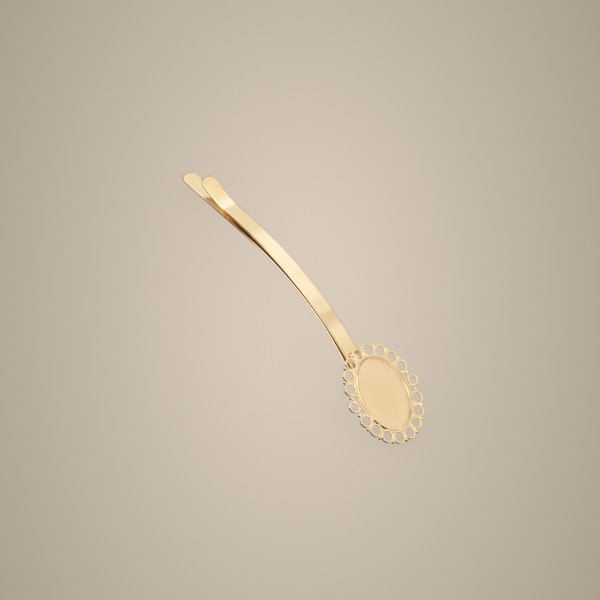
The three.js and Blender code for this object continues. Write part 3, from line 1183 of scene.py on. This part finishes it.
shot = {
    "azimuth": math.radians(29.88),
    "elevation": math.radians(49.46),
    "roll": math.radians(27.9),
    "aim": Vector((3.51, -7.38, 11.77)) * mm,
    "distance": 4.0,
    "across": 140.6 * mm,     # what the picture is wide at the clip
    "pixels": 600,
    "sensor": 36,
    "clip": (0.05, 30),
}
azimuth, elevation, roll = shot["azimuth"], shot["elevation"], shot["roll"]
towards = Vector((math.sin(azimuth) * math.cos(elevation), -math.cos(azimuth) * math.cos(elevation),
                  math.sin(elevation)))
levelRight = Vector((math.cos(azimuth), math.sin(azimuth), 0))
levelUp = towards.cross(levelRight)
pictureRight = math.cos(roll) * levelRight + math.sin(roll) * levelUp
pictureUp = towards.cross(pictureRight)


def setCamera():
    data = bpy.data.cameras.new("camera")
    data.sensor_width = shot["sensor"]
    data.lens = shot["sensor"] * shot["distance"] / shot["across"]
    data.clip_start, data.clip_end = shot["clip"]
    camera = bpy.data.objects.new("camera", data)
    bpy.context.scene.collection.objects.link(camera)
    turn = Matrix((pictureRight, pictureUp, towards)).transposed().to_4x4()
    turn.translation = shot["aim"] + towards * shot["distance"]
    camera.matrix_world = turn
    bpy.context.scene.camera = camera


setCamera()
print("camera set")


# Stage: a pale floor with a painted pool of light round the clip, and a soft warm dome with white panels

stage = {
    "size": 6.0,
    "drop": 2.4 * mm,          # room for the lace, which turns down when the clip is opened
    "level": (1.07, 1.03, 0.90, 1),   # how a white floor renders under this light
    "fade": (                  # its colour by the distance from the picture's middle, in pixels: a painted pool of light
        (0, tone(219, 206, 190)), (60, tone(216, 203, 187)),
        (200, tone(195, 183, 166)), (360, tone(172, 161, 144)),
    ),
    "tallness": 1.5,           # the fade is this much taller than it is wide
    "glow": 0.85,              # how much of the floor's shadow is lifted
    "frontHorizon": (0.90, 0.84, 0.74, 1),
    "backHorizon": (0.86, 0.80, 0.70, 1),
    "wall": (0.90, 0.835, 0.72, 1),
    "wallFrom": 0.42,          # height in the dome where the wall reaches its full light
    "backFade": (-0.3, 0.5),   # from the front to the back horizon
}
lamp = {"inner": 5, "outer": 8, "light": (2.40, 2.35, 2.20, 1)}
spark = {"inner": 3, "outer": 5, "light": (3.20, 3.15, 3.00, 1)}
panels = (   # direction, half angles in degrees at which it is full and ends, light
    {"towards": (-0.439, 0.564, 0.700), "inner": 13.0, "outer": 14.2, "light": (1.03, 1.03, 1.02, 1)},
    {"towards": (-0.502, 0.564, 0.656), "inner": 2, "outer": 9, "light": (1.08, 1.13, 1.20, 1)},
    {"towards": (-0.640, 0.564, 0.522), "inner": 2.0, "outer": 4.0, "light": (0.925, 0.895, 0.805, 1)},
    {"towards": (-0.180, 0.564, 0.805), "inner": 1.8, "outer": 2.6, "light": (0.97, 0.97, 0.92, 1)},
    {"towards": (-0.134, 0.564, 0.815), "inner": 0.8, "outer": 2.0, "light": (0.80, 0.70, 0.58, 1)},
    {"towards": (-0.040, 0.564, 0.825), "inner": 1.0, "outer": 3.5, "light": (1.00, 0.95, 0.86, 1)},
    {"towards": (-0.360, -0.820, 0.440), "inner": 26, "outer": 38, "light": (1.60, 1.56, 1.48, 1)},
    {"towards": (0.800, 0.450, 0.400), **lamp},
    {"towards": (0.620, -0.450, 0.640), **lamp},
    {"towards": (-0.750, -0.250, 0.610), **lamp},
    {"towards": (0.100, 0.930, 0.350), "inner": 4, "outer": 7, "light": (2.20, 2.15, 2.00, 1)},
    {"towards": (0.620, 0.250, 0.745), **spark},
    {"towards": (0.050, 0.050, 0.998), **spark},
    {"towards": (-0.350, 0.100, 0.930), **spark},
)


def layFloor():
    clearSelection()
    bpy.ops.mesh.primitive_plane_add(size=stage["size"], location=(0, 0, -stage["drop"]))
    floor = namedPiece("floor")
    bpy.ops.object.transform_apply(location=True, rotation=False, scale=False)
    material, make = newFinish("floorPaper")
    place = make.objectPlace()
    perPixel = shot["pixels"] / shot["across"]
    right = (make.along(place, pictureRight) - shot["aim"].dot(pictureRight)) * perPixel
    up = (make.along(place, pictureUp) - shot["aim"].dot(pictureUp)) * (perPixel / stage["tallness"])
    reach = stage["fade"][-1][0]
    away = (right * right + up * up) ** 0.5 / reach
    stops = [(pixels / reach, colour) for pixels, colour in stage["fade"]]
    seen = make.node("ShaderNodeValToRGB", {"stops": stops}, {"Fac": away})
    divided = {"data_type": "RGBA", "blend_type": "DIVIDE"}
    paper = make.node("ShaderNodeMix", divided, {0: 1.0, 6: seen, 7: stage["level"]}, 2)
    rays = [make.node("ShaderNodeLightPath", {}, {}, name)
            for name in ("Is Camera Ray", "Is Glossy Ray", "Is Transmission Ray")]
    direct = make.node("ShaderNodeMath", {"operation": "MINIMUM"}, {0: rays[0] + rays[1] + rays[2], 1: 1.0})
    lifted = direct * stage["glow"]
    black = (0, 0, 0, 1)
    make.surface({
        "Base Color": make.mixColours(lifted, paper, black),
        "Roughness": 1.0,
        "Specular IOR Level": 0.0,
        "Emission Color": make.mixColours(lifted, black, seen),
        "Emission Strength": 1.0,
    })
    wear(floor, material)


def lightDome():
    world = bpy.data.worlds.new("studio")
    bpy.context.scene.world = world
    world.use_nodes = True
    make = Finish(world.node_tree)
    sky = make.node("ShaderNodeTexCoord", {}, {}, "Generated")
    height = make.spread(make.along(sky, (0, 0, 1)), 0.0, stage["wallFrom"])
    back = make.spread(make.along(sky, (0, 1, 0)), *stage["backFade"])
    horizon = make.mixColours(back, stage["frontHorizon"], stage["backHorizon"])
    colour = make.mixColours(height, horizon, stage["wall"])
    for panel in panels:
        facing = make.along(sky, Vector(panel["towards"]).normalized())
        outer, inner = (math.cos(math.radians(panel[edge])) for edge in ("outer", "inner"))
        colour = make.mixColours(make.spread(facing, outer, inner), colour, panel["light"])
    light = make.node("ShaderNodeBackground", {}, {"Color": colour, "Strength": 1.0})
    make.node("ShaderNodeOutputWorld", {}, {"Surface": light})


layFloor()
lightDome()
bpy.context.scene.view_settings.view_transform = "Standard"
print("stage lit")
